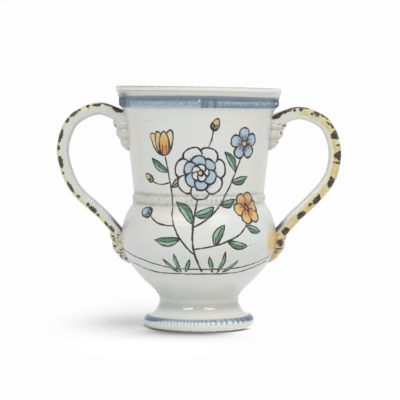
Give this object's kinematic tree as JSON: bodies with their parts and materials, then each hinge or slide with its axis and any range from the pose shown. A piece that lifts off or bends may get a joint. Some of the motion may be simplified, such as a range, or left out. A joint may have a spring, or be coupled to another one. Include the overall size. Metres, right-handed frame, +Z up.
{
  "type": "two-handled vase",
  "caption": "Glazed earthenware vase with a beaker neck, moulded waist, round bowl, hollow spreading foot and two strap handles ending in moulded leaf sprigs.",
  "frame": {"origin": "centre of the foot's resting ring, on the surface that the vase stands on", "axes": "+Z up along the vase's axis, -Y out of the painted front, -X and +X out through the two handles"},
  "size_m": [0.2036, 0.1188, 0.1719],
  "materials": {
    "tin_glaze": "gloss",
    "blue_border": "gloss",
    "painted_glaze": "gloss",
    "ochre_glaze": "gloss"
  },
  "bodies": {
    "root": {"foot": "tin_glaze", "bowl": "tin_glaze", "neck": "tin_glaze", "waist_rib": "tin_glaze", "rim_band": "blue_border", "handle_left": "painted_glaze", "handle_right": "painted_glaze", "upper_leaf_left": "painted_glaze", "upper_leaf_right": "painted_glaze", "lower_leaf_left": "ochre_glaze", "lower_leaf_right": "ochre_glaze"}
  },
  "joints": []
}
